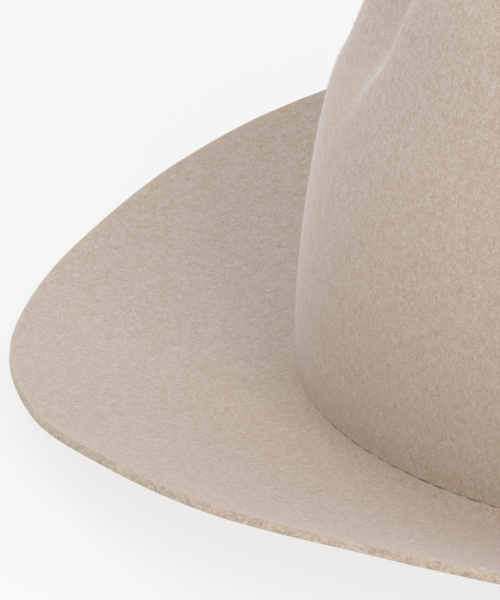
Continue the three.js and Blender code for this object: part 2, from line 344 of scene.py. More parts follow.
class Shop:
    """Small helpers around Blender's operators.

    MERGE is how close corners are joined, in millimetres, and WALL is a height at which the crown
    stands nearly upright, in metres.
    """

    MERGE = 0.02
    WALL = 0.05

    @staticmethod
    def deselect() -> None:
        """Deselects every object and leaves none active."""
        if bpy.context.object is not None and bpy.context.object.mode != "OBJECT":
            bpy.ops.object.mode_set(mode="OBJECT")
        bpy.ops.object.select_all(action="DESELECT")
        bpy.context.view_layer.objects.active = None

    @staticmethod
    def take(piece: bpy.types.Object) -> None:
        """Selects one object alone and makes it active."""
        Shop.deselect()
        piece.select_set(True)
        bpy.context.view_layer.objects.active = piece

    @staticmethod
    def apply_modifiers(piece: bpy.types.Object) -> None:
        """Applies all of a piece's modifiers in their order."""
        Shop.take(piece)
        for modifier in list(piece.modifiers):
            bpy.ops.object.modifier_apply(modifier=modifier.name)

    @staticmethod
    def sweep(name: str, rings: list[np.ndarray]) -> bpy.types.Object:
        """Extrudes a sheet ring by ring from one circle.

        Args:
            name: The sheet's name.
            rings: The places of each ring's points, in millimetres.

        Returns:
            The sheet, with its faces pointing out of the hat.
        """
        Shop.deselect()
        start = float(np.abs(rings[0]).max())
        bpy.ops.mesh.primitive_circle_add(vertices=len(rings[0]), radius=start * MM)
        piece = bpy.context.object
        piece.name = piece.data.name = name
        bpy.ops.object.mode_set(mode="EDIT")
        bpy.ops.mesh.select_mode(type="VERT")
        bpy.ops.mesh.select_all(action="SELECT")
        mesh = bmesh.from_edit_mesh(piece.data)
        station = mesh.verts.layers.int.new("station")
        for index, vertex in enumerate(mesh.verts):
            vertex[station] = index
        Shop.lay(piece, rings[0])
        for ring in rings[1:]:
            bpy.ops.mesh.extrude_region_move()
            Shop.lay(piece, ring)
        bpy.ops.mesh.select_all(action="SELECT")
        bpy.ops.mesh.remove_doubles(threshold=Shop.MERGE * MM)
        bpy.ops.mesh.normals_make_consistent(inside=False)
        bpy.ops.object.mode_set(mode="OBJECT")
        Shop.face_outward(piece)
        return piece

    @staticmethod
    def lay(piece: bpy.types.Object, ring: np.ndarray) -> None:
        """Moves the selected ring of vertices to its places.

        Args:
            piece: The sheet, in edit mode.
            ring: The places, in millimetres, one for each station.
        """
        mesh = bmesh.from_edit_mesh(piece.data)
        station = mesh.verts.layers.int["station"]
        for vertex in mesh.verts:
            if vertex.select:
                vertex.co = ring[vertex[station]] * MM
        bmesh.update_edit_mesh(piece.data)

    @staticmethod
    def face_outward(piece: bpy.types.Object) -> None:
        """Turns a sheet, by the face at the hat's wall, so that it points out of the hat."""
        faces = piece.data.polygons
        wall = min(faces, key=lambda face: (abs(face.center.z - Shop.WALL), face.center.y))
        if wall.normal.dot(wall.center.xy.to_3d()) < 0:
            Shop.take(piece)
            bpy.ops.object.mode_set(mode="EDIT")
            bpy.ops.mesh.select_all(action="SELECT")
            bpy.ops.mesh.flip_normals()
            bpy.ops.object.mode_set(mode="OBJECT")

    @staticmethod
    def wall(piece: bpy.types.Object, thickness: float, even: bool = False, rim_slot: int = 0) -> None:
        """Gives a sheet its wall, set off inwards from it.

        Args:
            piece: The sheet.
            thickness: The wall's thickness, in millimetres.
            even: Whether the wall keeps its thickness where the sheet bends sharply.
            rim_slot: How many material slots further on the rim's finish is.
        """
        wall = piece.modifiers.new("wall", "SOLIDIFY")
        wall.thickness = thickness * MM
        wall.offset = -1.0
        wall.use_even_offset = even
        wall.material_offset_rim = rim_slot

    @staticmethod
    def round_edges(piece: bpy.types.Object, width: float, segments: int) -> None:
        """Rounds a walled sheet's sharp edges.

        Args:
            piece: The sheet with its wall.
            width: Width of the rounding, in millimetres.
            segments: Number of faces across it.
        """
        rounding = piece.modifiers.new("round", "BEVEL")
        rounding.width = width * MM
        rounding.segments = segments
        rounding.limit_method = "ANGLE"
        rounding.angle_limit = SHARP_ANGLE

    @staticmethod
    def seat(piece: bpy.types.Object, slot: str) -> None:
        """Puts a finished piece's place into its mesh and sets it on the hat's body.

        Args:
            piece: The finished object.
            slot: A material slot; not used.
        """
        Shop.take(piece)
        bpy.ops.object.transform_apply(location=True, rotation=True, scale=True)
        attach(piece, BODY)
        log.info("%s: %d faces", piece.name, len(piece.data.polygons))


class Web:
    """A thin wrapper round a node tree, so that a finish reads from top to bottom.

    The numbers are those of a Mix node's colour sockets.
    """

    COLOUR_A = 6
    COLOUR_B = 7
    COLOUR_OUT = 2

    def __init__(self, tree: bpy.types.NodeTree) -> None:
        """Takes the tree and empties it."""
        self.tree = tree
        self.tree.nodes.clear()

    def add(self, kind: str, inputs: dict | None = None, **settings: object) -> bpy.types.Node:
        """Adds a node, with its settings and its inputs.

        Args:
            kind: The node's type name.
            inputs: Socket names with values, or with the sockets that feed them.
            settings: The node's own properties.

        Returns:
            The new node.
        """
        node = self.tree.nodes.new(kind)
        for name, value in settings.items():
            setattr(node, name, value)
        for name, value in (inputs or {}).items():
            socket = node.inputs[name]
            if isinstance(value, bpy.types.NodeSocket):
                self.tree.links.new(value, socket)
            else:
                socket.default_value = value
        return node

    def math(self, operation: str, *values: object) -> bpy.types.NodeSocket:
        """Adds a Math node and returns its output."""
        return self.add("ShaderNodeMath", dict(enumerate(values)), operation=operation).outputs[0]

    def place(self) -> bpy.types.NodeSocket:
        """Adds the Object coordinates and returns them."""
        return self.add("ShaderNodeTexCoord").outputs["Object"]

    def attribute(self, name: str) -> bpy.types.NodeSocket:
        """Adds an attribute of the mesh and returns its value."""
        return self.add("ShaderNodeAttribute", attribute_name=name).outputs["Fac"]

    def fibres(self, vector: object, grain: float) -> bpy.types.Node:
        """Adds the matted fibres' group and returns its node."""
        return self.add("ShaderNodeGroup", {"Vector": vector, "Grain": grain}, node_tree=FIBRES.group())

    def ramp(self, factor: object, low: float, high: float) -> bpy.types.NodeSocket:
        """Spreads the range from low to high over 0 to 1 and returns the output."""
        spread = {"Value": factor, "From Min": low, "From Max": high}
        return self.add("ShaderNodeMapRange", spread, clamp=True).outputs[0]

    def noise(self, vector: object, scale: object, detail: float, distortion: float) -> object:
        """Adds a Noise Texture and returns its value."""
        settings = {"Vector": vector, "Scale": scale, "Detail": detail, "Distortion": distortion}
        return self.add("ShaderNodeTexNoise", settings).outputs["Fac"]

    def weigh(self, *parts: tuple) -> bpy.types.NodeSocket:
        """Adds up values, each times its own weight, and returns the output."""
        total = None
        for value, weight in parts:
            share = self.math("MULTIPLY", value, weight)
            total = share if total is None else self.math("ADD", total, share)
        return total

    def mix(self, factor: object, first: object, second: object, mode: str = "MIX") -> object:
        """Mixes two colours and returns the output."""
        colours = {"Factor": factor, self.COLOUR_A: first, self.COLOUR_B: second}
        node = self.add("ShaderNodeMix", colours, data_type="RGBA", blend_type=mode)
        return node.outputs[self.COLOUR_OUT]


def blank_material(name: str) -> tuple[bpy.types.Material, Web]:
    """Makes a node material and gives it with its emptied tree."""
    made = bpy.data.materials.new(name)
    made.use_nodes = True
    return made, Web(made.node_tree)


@dataclass(frozen=True)
class MattedFibres:
    """The matted wool that every felt and ribbon face shares, as one node group.

    Its scales are multiples of the grain, and the rest are weights of what it puts out.
    """

    name: str = "matted_fibres"
    clump_scale: float = 0.42
    speck_scale: float = 2.3
    curl_scale: float = 0.8
    strand_width: float = 0.05
    clump_fleck: float = 0.21
    tuft_fleck: float = 0.31
    speck_fleck: float = 0.46
    strand_fleck: float = 0.08
    tuft_height: float = 0.45
    speck_height: float = 0.35
    strand_height: float = 0.20

    def group(self) -> bpy.types.NodeTree:
        """Gives the group, building it the first time.

        Returns:
            A group that takes a Vector and a Grain, and gives Fleck and Height.
        """
        return bpy.data.node_groups.get(self.name) or self.build()

    def build(self) -> bpy.types.NodeTree:
        """Builds the group out of clumps, tufts, specks and the strands that curl between them.

        Returns:
            The new group.
        """
        group = bpy.data.node_groups.new(self.name, "ShaderNodeTree")
        web = Web(group)
        for direction, kind, *names in (
            ("INPUT", "NodeSocketVector", "Vector"), ("INPUT", "NodeSocketFloat", "Grain"),
            ("OUTPUT", "NodeSocketFloat", "Fleck", "Height"),
        ):
            for name in names:
                group.interface.new_socket(name=name, in_out=direction, socket_type=kind)
        into = web.add("NodeGroupInput")
        vector, grain = into.outputs["Vector"], into.outputs["Grain"]
        coarse, fine, curly = (
            web.math("MULTIPLY", grain, scale)
            for scale in (self.clump_scale, self.speck_scale, self.curl_scale)
        )
        clumps = web.noise(vector, coarse, detail=2.0, distortion=0.4)
        tufts = web.noise(vector, grain, detail=2.0, distortion=0.9)
        specks = web.noise(vector, fine, detail=2.0, distortion=0.5)
        curls = web.noise(vector, curly, detail=1.0, distortion=1.6)
        off_middle = web.math("ABSOLUTE", web.math("SUBTRACT", curls, 0.5))
        strands = web.ramp(off_middle, self.strand_width, 0.0)
        fleck = web.weigh(
            (clumps, self.clump_fleck), (tufts, self.tuft_fleck),
            (specks, self.speck_fleck), (strands, self.strand_fleck),
        )
        height = web.weigh(
            (tufts, self.tuft_height), (specks, self.speck_height), (strands, self.strand_height),
        )
        web.add("NodeGroupOutput", {"Fleck": fleck, "Height": height})
        return group


FIBRES = MattedFibres()


@dataclass(frozen=True)
class FeltFinish:
    """Matte wool felt: mottled fibres, a soft nap and a pale painted sheen where it is seen edge on.

    The mesh's own values say where painted shade darkens the colour round the crown's foot, how far
    the brim lies out past the stitches, and where it is cut. The painted shade and the outer brim take
    the painted sheen away. A pale, ragged painted highlight runs along the top rim of the cut.
    """

    name: str
    dark: tuple
    light: tuple
    # Pale colour of both the shader's own sheen and the painted sheen.
    sheen_colour: tuple
    sheen_weight: float = 0.25
    sheen_roughness: float = 0.45
    roughness: float = 0.95
    shine: float = 0.2
    grain: float = 1600.0
    nap_stretch: float = 0.85
    contrast: tuple = (0.341, 0.681)
    relief_mm: float = 0.12
    relief_strength: float = 0.50
    # Painted sheen: how strong and how narrow the pale colour is where the felt is seen edge on.
    painted_sheen_strength: float = 0.42
    painted_sheen_narrowness: float = 6.0
    # How much the outer brim, past the stitches, takes the painted sheen away.
    outer_brim_sheen_loss: float = 0.85
    # Painted shade round the crown's foot: how much it takes the painted sheen away, its colour and its
    # strength.
    crease_sheen_loss: float = 0.85
    crease_shade_colour: tuple = (0.60, 0.52, 0.40, 1)
    crease_shade_weight: float = 0.42
    # Painted highlight along the top rim of the cut: the grain and reach of its ragged border, where it
    # starts and ends, its strength and its colour.
    fray_grain: float = 420.0
    fray_reach: float = 2.4
    rim_highlight_start: tuple = (0.60, 0.95)
    rim_highlight_end: tuple = (1.00, 1.45)
    rim_highlight_weight: float = 0.75
    rim_highlight_colour: tuple = (0.625, 0.507, 0.406, 1)

    def rim_highlight(self, web: Web, place: bpy.types.NodeSocket) -> bpy.types.NodeSocket:
        """Works out how far the painted highlight along the top rim of the cut shows.

        Args:
            web: The material's tree.
            place: The Object coordinates.

        Returns:
            The painted highlight's share of the colour.
        """
        patches = web.noise(place, self.fray_grain, detail=3.0, distortion=0.6)
        fray = web.math("MULTIPLY", web.math("SUBTRACT", patches, 0.5), self.fray_reach)
        torn = web.math("ADD", web.attribute("cut"), fray)
        rim_highlight = web.math("SUBTRACT", web.ramp(torn, *self.rim_highlight_start), web.ramp(torn, *self.rim_highlight_end))
        return web.math("MULTIPLY", rim_highlight, self.rim_highlight_weight)

    def painted_edge_sheen(self, web: Web, crease_shade: bpy.types.NodeSocket) -> bpy.types.NodeSocket:
        """Works out how far a painted sheen pales the colour where the felt is seen edge on.

        Args:
            web: The material's tree.
            crease_shade: How strong the painted shade round the crown's foot is there; it takes the
                painted sheen away.

        Returns:
            The painted sheen's share of the colour.
        """
        edge_on = web.add("ShaderNodeLayerWeight", {"Blend": 0.5}).outputs["Facing"]
        narrow = web.math("POWER", edge_on, self.painted_sheen_narrowness)
        painted_edge_sheen = web.math("MULTIPLY", narrow, self.painted_sheen_strength)
        for sheen_mask, loss in ((web.attribute("outer_brim"), self.outer_brim_sheen_loss), (crease_shade, self.crease_sheen_loss)):
            left = web.math("SUBTRACT", 1.0, web.math("MULTIPLY", sheen_mask, loss))
            painted_edge_sheen = web.math("MULTIPLY", painted_edge_sheen, left)
        return painted_edge_sheen

    def material(self) -> bpy.types.Material:
        """Builds the material.

        Returns:
            The node material for a felt face.
        """
        made, web = blank_material(self.name)
        place = web.place()
        stretch = (1.0, 1.0, self.nap_stretch)
        napped = web.add("ShaderNodeMapping", {"Vector": place, "Scale": stretch})
        fibres = web.fibres(napped.outputs[0], self.grain)
        colour = web.mix(web.ramp(fibres.outputs["Fleck"], *self.contrast), self.dark, self.light)
        # Painted shade: the colour darkens round the crown's foot, in the crease between crown and
        # brim.
        crease_shade = web.attribute("crease_shade")
        crease_shading = web.math("MULTIPLY", crease_shade, self.crease_shade_weight)
        colour = web.mix(crease_shading, colour, self.crease_shade_colour, "MULTIPLY")
        # Painted highlight: a paler, ragged band along the top rim of the cut.
        colour = web.mix(self.rim_highlight(web, place), colour, self.rim_highlight_colour)
        # Painted sheen: the colour turns pale where the felt is seen edge on.
        colour = web.mix(self.painted_edge_sheen(web, crease_shade), colour, self.sheen_colour)
        relief = web.add("ShaderNodeBump", {
            "Strength": self.relief_strength, "Distance": self.relief_mm * MM,
            "Height": fibres.outputs["Height"],
        })
        shader = web.add("ShaderNodeBsdfPrincipled", {
            "Base Color": colour, "Roughness": self.roughness, "Normal": relief.outputs[0],
            "Sheen Weight": self.sheen_weight, "Sheen Roughness": self.sheen_roughness,
            "Sheen Tint": self.sheen_colour, "Specular IOR Level": self.shine,
        })
        web.add("ShaderNodeOutputMaterial", {"Surface": shader.outputs[0]})
        return made


@dataclass(frozen=True)
class RibbonFinish:
    """Dark ribbed cotton ribbon, with ribs that run up it and painted shade in the valleys between
    them.
    """

    name: str = "ribbed_ribbon"
    # Painted shade in the valleys between the ribs; the crests keep the ribbon's own dark colour.
    valley_shade: tuple = (0.030, 0.020, 0.015, 1)
    crest: tuple = (0.085, 0.060, 0.045, 1)
    ribs: float = 560.0
    grain: float = 1500.0
    fibre_height: float = 0.3
    relief_mm: float = 0.25
    relief_strength: float = 0.8
    roughness: float = 0.7
    sheen_weight: float = 0.15
    shine: float = 0.35

    def material(self) -> bpy.types.Material:
        """Builds the material.

        Returns:
            The node material for the sweatband.
        """
        made, web = blank_material(self.name)
        around = web.add("ShaderNodeSeparateXYZ", {"Vector": web.add("ShaderNodeUVMap").outputs[0]})
        turn = web.math("MULTIPLY", around.outputs["X"], self.ribs * math.tau)
        rib = web.math("MULTIPLY_ADD", web.math("SINE", turn), 0.5, 0.5)
        fibres = web.fibres(web.place(), self.grain)
        height = web.math("MULTIPLY_ADD", fibres.outputs["Height"], self.fibre_height, rib)
        relief = web.add("ShaderNodeBump", {
            "Strength": self.relief_strength, "Distance": self.relief_mm * MM, "Height": height,
        })
        # Painted shade: the base colour darkens in the valleys between the ribs.
        shader = web.add("ShaderNodeBsdfPrincipled", {
            "Base Color": web.mix(rib, self.valley_shade, self.crest), "Roughness": self.roughness,
            "Normal": relief.outputs[0], "Sheen Weight": self.sheen_weight,
            "Specular IOR Level": self.shine,
        })
        web.add("ShaderNodeOutputMaterial", {"Surface": shader.outputs[0]})
        return made


@dataclass(frozen=True)
class StrandFinish:
    """A thread's or a loose fibre's own colour, a little uneven along it."""

    name: str
    dark: tuple
    light: tuple
    contrast: tuple = (0.35, 0.65)
    roughness: float = 0.75
    shine: float = 0.3
    twist: float = 2600.0

    def shared(self) -> bpy.types.Material:
        """Gives the material, building it the first time."""
        return bpy.data.materials.get(self.name) or self.material()

    def material(self) -> bpy.types.Material:
        """Builds the material.

        Returns:
            The node material for strands.
        """
        made, web = blank_material(self.name)
        patch = web.noise(web.place(), self.twist, detail=2.0, distortion=0.0)
        shader = web.add("ShaderNodeBsdfPrincipled", {
            "Base Color": web.mix(web.ramp(patch, *self.contrast), self.dark, self.light),
            "Roughness": self.roughness, "Specular IOR Level": self.shine,
        })
        web.add("ShaderNodeOutputMaterial", {"Surface": shader.outputs[0]})
        return made


# The pale sheen colours below tint both the shader's own sheen and the painted sheen seen edge on.
NAP = FeltFinish(
    name="felt_nap", dark=(0.450, 0.325, 0.250, 1), light=(0.690, 0.625, 0.555, 1),
    sheen_colour=(0.94, 0.92, 0.93, 1),
)
CUT_EDGE = FeltFinish(
    name="felt_cut_edge", dark=(0.365, 0.272, 0.206, 1), light=(0.700, 0.590, 0.485, 1),
    sheen_colour=(0.95, 0.90, 0.84, 1), grain=560.0, nap_stretch=2.0, contrast=(0.34, 0.63),
    relief_mm=0.4, relief_strength=0.7,
)
RIBBON = RibbonFinish()
DARK_THREAD = StrandFinish("dark_thread", dark=(0.110, 0.080, 0.060, 1), light=(0.230, 0.175, 0.135, 1))
PALE_WOOL = StrandFinish("pale_wool", dark=(0.62, 0.54, 0.47, 1), light=(0.86, 0.80, 0.74, 1))


@dataclass
class FeltHat:
    """Crown and brim, one shell of felt with a raw-cut edge.

    Each ring of the groove has its share of the way from the stitches to the fillet's end, and its
    share of the groove's depth. Each wave along the cut has its number to a millimetre, and its
    share of the wander.
    """

    form: HatForm
    sides: int = 288
    front_crowding: float = 0.3
    wall_top_row: float = 4.5
    top_rings: int = 52
    wall_rings: int = 18
    brim_rings: int = 15
    last_rings: tuple = (0.955, 0.975, 0.99)
    stitch_rise: float = 3.0
    groove_depth: float = 0.22
    groove_above: tuple = ((1.0, 0.0), (0.66, 0.0), (0.36, 0.0), (0.14, 0.15), (0.06, 0.6))
    groove_below: tuple = ((1.0, 1.0), (0.95, 0.6), (0.88, 0.15), (0.7, 0.0), (0.45, 0.0), (0.2, 0.0))
    edge_round: float = 0.85
    edge_segments: int = 4
    edge_wander: float = 0.12
    wander_waves: tuple = ((0.07, 1.0), (0.31, 0.5))
    before_cut: float = 0.97
    nudge: float = 0.01
    # Reach and shape of the painted shade round the crown's foot, eased at the front past the stitches.
    shade_reach: float = 26.0
    crease_reach: float = 4.5
    crease_share: float = 0.6
    ease_angle: float = 27.0
    # Span in millimetres over which the brim comes to lie fully out past the stitches.
    outer_brim_span: float = 5.0
    fray_width: float = 3.0
    line_steps: int = 1440

    def rings(self) -> list[np.ndarray]:
        """Lays out the shell's rings from the crease on top down to the brim's edge.

        Returns:
            A ring of points each, in millimetres.
        """
        form = self.form
        even = np.arange(self.sides) * math.tau / self.sides
        angle = even - self.front_crowding * np.sin(even)
        top = np.linspace(len(CROWN_LEVELS) - 1, self.wall_top_row, self.top_rings)
        rings = [form.crown(angle, np.full_like(angle, row)) for row in top]
        wall_foot = form.fillet_end(angle)
        for share in np.linspace(1.0, 0.0, self.wall_rings + 1)[1:-1]:
            rings.append(form.crown(angle, wall_foot + (self.wall_top_row - wall_foot) * share))
        stitch = form.stitch_share(angle, self.stitch_rise)
        for share, dent in self.groove_above:
            rings.append(self.grooved(angle, stitch + (1 - stitch) * share, dent))
        for share, dent in self.groove_below:
            rings.append(self.grooved(angle, stitch * share, dent))
        for share in (*np.linspace(0, 1, self.brim_rings)[:-1], *self.last_rings):
            rings.append(form.brim(angle, share))
        rings.append(self.cut_ring(angle))
        return rings

    def grooved(self, angle: np.ndarray, share: np.ndarray, dent: float) -> np.ndarray:
        """Gives a ring of the fillet, pressed in where the stitches pull the felt.

        Args:
            angle: Angles in radians.
            share: How far round the fillet each point is.
            dent: How much of the groove's depth this ring has.

        Returns:
            The ring's points, in millimetres.
        """
        form = self.form
        ring = form.fillet(angle, share)
        along = form.fillet(angle, np.minimum(share + self.nudge, 1.0)) - ring
        _, outward = form.oval(angle, form.foot_length, form.foot_width, form.foot_length)
        lean = np.hypot(along[:, 0], along[:, 1]) / np.maximum(np.linalg.norm(along, axis=1), 1e-9)
        inward = np.concatenate([-outward * np.sqrt(1 - lean**2)[:, None], -lean[:, None]], 1)
        return ring + inward * self.groove_depth * dent

    def cut_ring(self, angle: np.ndarray) -> np.ndarray:
        """Gives the brim's edge, with the slight wander of a hand-cut line."""
        ring = self.form.brim(angle, 1.0)
        out = ring - self.form.brim(angle, self.before_cut)
        out /= np.linalg.norm(out, axis=1, keepdims=True)
        wander = np.zeros(len(ring))
        for waves, height in self.wander_waves:
            wander += [height * noise.noise(Vector(point) * waves) for point in ring]
        return ring + out * wander[:, None] * self.edge_wander

    def build(self) -> bpy.types.Object:
        """Extrudes the shell, gives it its wall and rounds its raw cut a little.

        Returns:
            The finished felt.
        """
        piece = Shop.sweep("felt_hat", self.rings())
        finishes = {FeltFace.NAP: NAP, FeltFace.CUT_EDGE: CUT_EDGE}
        for face in FeltFace:
            piece.data.materials.append(finishes[face].material())
        Shop.wall(piece, self.form.felt, even=True, rim_slot=FeltFace.CUT_EDGE.value)
        Shop.round_edges(piece, self.edge_round, self.edge_segments)
        Shop.apply_modifiers(piece)
        self.rest_flat(piece)
        self.mark(piece)
        Shop.take(piece)
        bpy.ops.object.shade_smooth_by_angle(angle=SMOOTH_ANGLE)
        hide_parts("felt_body")
        Shop.seat(piece, "felt")
        return piece

    @staticmethod
    def rest_flat(piece: bpy.types.Object) -> None:
        """Flattens the felt where the hat's weight presses it on the surface."""
        for vertex in piece.data.vertices:
            vertex.co.z = max(vertex.co.z, 0.0)

    def mark(self, piece: bpy.types.Object) -> None:
        """Writes the painted shade round the crown's foot, how far the brim lies out past the stitches,
        and how near the cut each vertex is.

        Args:
            piece: The finished felt.
        """
        mesh = piece.data
        fine = np.linspace(0, math.tau, self.line_steps, endpoint=False)
        stitches = self.form.fillet(fine, self.form.stitch_share(fine, self.stitch_rise))
        crease_shade, outer_brim = self.crease_shade_masks(mesh, self.nearest(mesh, stitches * MM))
        cut = self.torn(mesh, self.nearest(mesh, self.form.brim(fine, 1.0) * MM))
        for name, values in (("crease_shade", crease_shade), ("outer_brim", outer_brim), ("cut", cut)):
            layer = mesh.attributes.new(name, "FLOAT", "POINT")
            layer.data.foreach_set("value", values.astype(np.float32))

    def crease_shade_masks(self, mesh: bpy.types.Mesh, foot: list[tuple]) -> tuple:
        """Works out the painted shade round the crown's foot, strongest near the stitches and eased at
        the front past them, and how far out past the stitches each vertex lies.

        Args:
            mesh: The felt's mesh.
            foot: The nearest place of the stitch line for each vertex.

        Returns:
            How far each vertex is pressed and how far it is ironed, from 0 to 1.
        """
        near = np.array([distance for _, _, distance in foot]) / MM
        past = [vertex.co.xy.length - at.xy.length for vertex, (at, _, _) in zip(mesh.vertices, foot)]
        outer_brim = np.clip(np.array(past) / MM / self.outer_brim_span, 0, 1)
        # Painted shade, a wide and a narrow part, round the stitch line at the crown's foot.
        wide = np.exp(-((near / self.shade_reach) ** 2))
        narrow = np.exp(-((near / self.crease_reach) ** 2))
        crease_shade = wide + self.crease_share * (narrow - wide)
        off_front = np.degrees([math.atan2(vertex.co.x, -vertex.co.y) for vertex in mesh.vertices])
        eased = np.exp(-((off_front / self.ease_angle) ** 2)) * outer_brim
        return crease_shade * (1 - eased), outer_brim

    def torn(self, mesh: bpy.types.Mesh, edge: list[tuple]) -> np.ndarray:
        """Works out how near each vertex is to the raw cut.

        Args:
            mesh: The felt's mesh.
            edge: The nearest place of the brim's edge for each vertex.

        Returns:
            Up to 1 on the faces beside the cut, and from 1 to 2 down the cut itself.
        """
        off_edge = np.array([distance for _, _, distance in edge]) / MM
        below = np.array([at.z - vertex.co.z for vertex, (at, _, _) in zip(mesh.vertices, edge)]) / MM
        below = np.clip(below / self.form.felt, 0, 1)
        return np.where(self.on_cut(mesh), 1 + below, 1 - off_edge / self.fray_width)

    @staticmethod
    def nearest(mesh: bpy.types.Mesh, line: np.ndarray) -> list[tuple]:
        """Finds the nearest point of a line for each vertex.

        Args:
            mesh: The felt's mesh.
            line: The line's points, in metres.

        Returns:
            The point, its number and its distance, for each vertex.
        """
        tree = kdtree.KDTree(len(line))
        for index, point in enumerate(line):
            tree.insert(point, index)
        tree.balance()
        return [tree.find(vertex.co) for vertex in mesh.vertices]

    @staticmethod
    def on_cut(mesh: bpy.types.Mesh) -> np.ndarray:
        """Tells which vertices are on the raw cut.

        Args:
            mesh: The felt's mesh.

        Returns:
            Yes or no for each vertex.
        """
        cut = np.zeros(len(mesh.vertices), bool)
        for face in mesh.polygons:
            if face.material_index == FeltFace.CUT_EDGE.value:
                cut[list(face.vertices)] = True
        return cut


@dataclass
class Sweatband:
    """The ribbon inside the head opening."""

    form: HatForm
    sides: int = 192
    bottom: float = 3.0
    height: float = 34.0
    thickness: float = 0.9
    gap: float = 0.35
    rings: int = 9
    top_level: int = 2
    hem: float = 0.25
    hem_segments: int = 2
    map_height: float = 40.0

    def ring(self, angle: np.ndarray, share: float) -> np.ndarray:
        """Gives a ring of the ribbon's outer face.

        Args:
            angle: Angles in radians.
            share: How far up the ribbon, from 0 to 1.

        Returns:
            The ring's points, in millimetres.
        """
        low, high = CROWN_LEVELS[0], CROWN_LEVELS[self.top_level]
        height = self.bottom + self.height * share
        t = height / high.rise
        names = ("front", "side", "back")
        sizes = [getattr(low, name) * (1 - t) + getattr(high, name) * t for name in names]
        point, outward = self.form.oval(angle, *sizes)
        point = point - outward * (self.form.felt + self.gap)
        level = np.full(len(angle), self.form.settle + height)
        return np.concatenate([point, level[:, None]], 1) - self.form.middle

    def build(self) -> bpy.types.Object:
        """Extrudes the ribbon upward, gives it its thickness and rounds its hems.

        Returns:
            The finished ribbon.
        """
        angle = np.arange(self.sides) * math.tau / self.sides
        rings = [self.ring(angle, share) for share in np.linspace(0, 1, self.rings)]
        piece = Shop.sweep("sweatband_ribbon", rings)
        self.unroll(piece)
        piece.data.materials.append(RIBBON.material())
        Shop.wall(piece, self.thickness)
        Shop.round_edges(piece, self.hem, self.hem_segments)
        Shop.apply_modifiers(piece)
        bpy.ops.object.shade_smooth_by_angle(angle=SMOOTH_ANGLE)
        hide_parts("sweatband")
        Shop.seat(piece, "sweatband")
        return piece

    def unroll(self, piece: bpy.types.Object) -> None:
        """Gives the ribbon a UV map that runs once round it and up it."""
        layer = piece.data.uv_layers.new(name="ribbon")
        for face in piece.data.polygons:
            middle = math.atan2(face.center.x, -face.center.y)
            for loop in face.loop_indices:
                place = piece.data.vertices[piece.data.loops[loop].vertex_index].co
                turn = math.atan2(place.x, -place.y)
                turn += math.tau * round((middle - turn) / math.tau)
                layer.data[loop].uv = (turn / math.tau, place.z / MM / self.map_height)


@dataclass
class StitchRow:
    """The row of thread around the crown's foot that holds the sweatband.

    Towards the front the dashes sink by front_sunk more and vanish. Unevenness is how much a dash
    may differ from the rest in length, in sinking and in how it lies across the row.
    """

    form: HatForm
    rise: float = 3.0
    pitch: float = 4.7
    dash: float = 3.7
    thread: float = 0.38
    sunk: float = 0.07
    front_sunk: float = 0.24
    front_angle: float = 30.5
    front_softness: float = 2.5
    unevenness: float = 0.20
    uneven_sinking: float = 3.0
    skew: float = 0.35
    nudge: float = 0.01
    turn_nudge: float = 0.002
    line_steps: int = 1440
    seed: int = 5

    def build(self) -> bpy.types.Object:
        """Models one dash and sets a copy at every stitch.

        Returns:
            The joined row.
        """
        fine = np.linspace(0, math.tau, self.line_steps + 1)
        line = self.form.fillet(fine, self.form.stitch_share(fine, self.rise))
        length = np.concatenate([[0], np.cumsum(np.linalg.norm(np.diff(line, axis=0), axis=1))])
        count = round(length[-1] / self.pitch)
        places = (np.arange(count) + 0.5) * length[-1] / count
        Shop.deselect()
        bpy.ops.mesh.primitive_uv_sphere_add(segments=8, ring_count=6, radius=0.5)
        dash = bpy.context.object
        dash.name = dash.data.name = "stitches"
        dash.data.materials.append(DARK_THREAD.material())
        bpy.ops.object.shade_smooth()
        unit = dash.data.copy()
        copies = [dash]
        dice = random.Random(self.seed)
        for index, place in enumerate(places):
            piece = dash
            if index:
                piece = bpy.data.objects.new(f"stitch_{index}", unit.copy())
                bpy.context.scene.collection.objects.link(piece)
                copies.append(piece)
            uneven = dice.uniform(-self.unevenness, self.unevenness)
            piece.data.transform(self.pose(float(place), uneven, fine, length))
        Shop.deselect()
        for piece in copies:
            piece.select_set(True)
        bpy.context.view_layer.objects.active = dash
        bpy.ops.object.join()
        Shop.seat(dash, "sweatband")
        return dash

    def pose(self, place: float, uneven: float, fine: np.ndarray, length: np.ndarray) -> Matrix:
        """Gives the matrix that lays a unit dash along the row.

        Args:
            place: Distance along the row, in millimetres.
            uneven: How much longer than the others this dash is, as a share.
            fine: Angles along the row.
            length: Distance along the row at each of those.

        Returns:
            The dash's place, turn and size.
        """
        angle = np.array([np.interp(place, length, fine)])
        share = self.form.stitch_share(angle, self.rise)
        here = self.form.fillet(angle, share)[0]
        later = angle + self.turn_nudge
        ahead = self.form.fillet(later, self.form.stitch_share(later, self.rise))[0]
        up = self.form.fillet(angle, share + self.nudge)[0]
        along = Vector(ahead - here).normalized()
        out = along.cross(Vector(up - here)).normalized()
        along = (along + uneven * self.skew * out.cross(along)).normalized()
        side = out.cross(along)
        off_front = abs(math.degrees(math.atan2(math.sin(angle[0]), math.cos(angle[0]))))
        hidden = self.front_sunk / (1 + math.exp((off_front - self.front_angle) / self.front_softness))
        sunk = self.sunk * (1 - self.uneven_sinking * uneven)
        centre = Vector(here) - out * (sunk + hidden + FeltHat.groove_depth)
        sizes = (self.dash * (1 + uneven), self.thread, self.thread)
        axes = [axis * size for axis, size in zip((along, side, out), sizes)]
        matrix = Matrix(axes).transposed().to_4x4()
        return Matrix.Scale(MM, 4) @ Matrix.Translation(centre) @ matrix


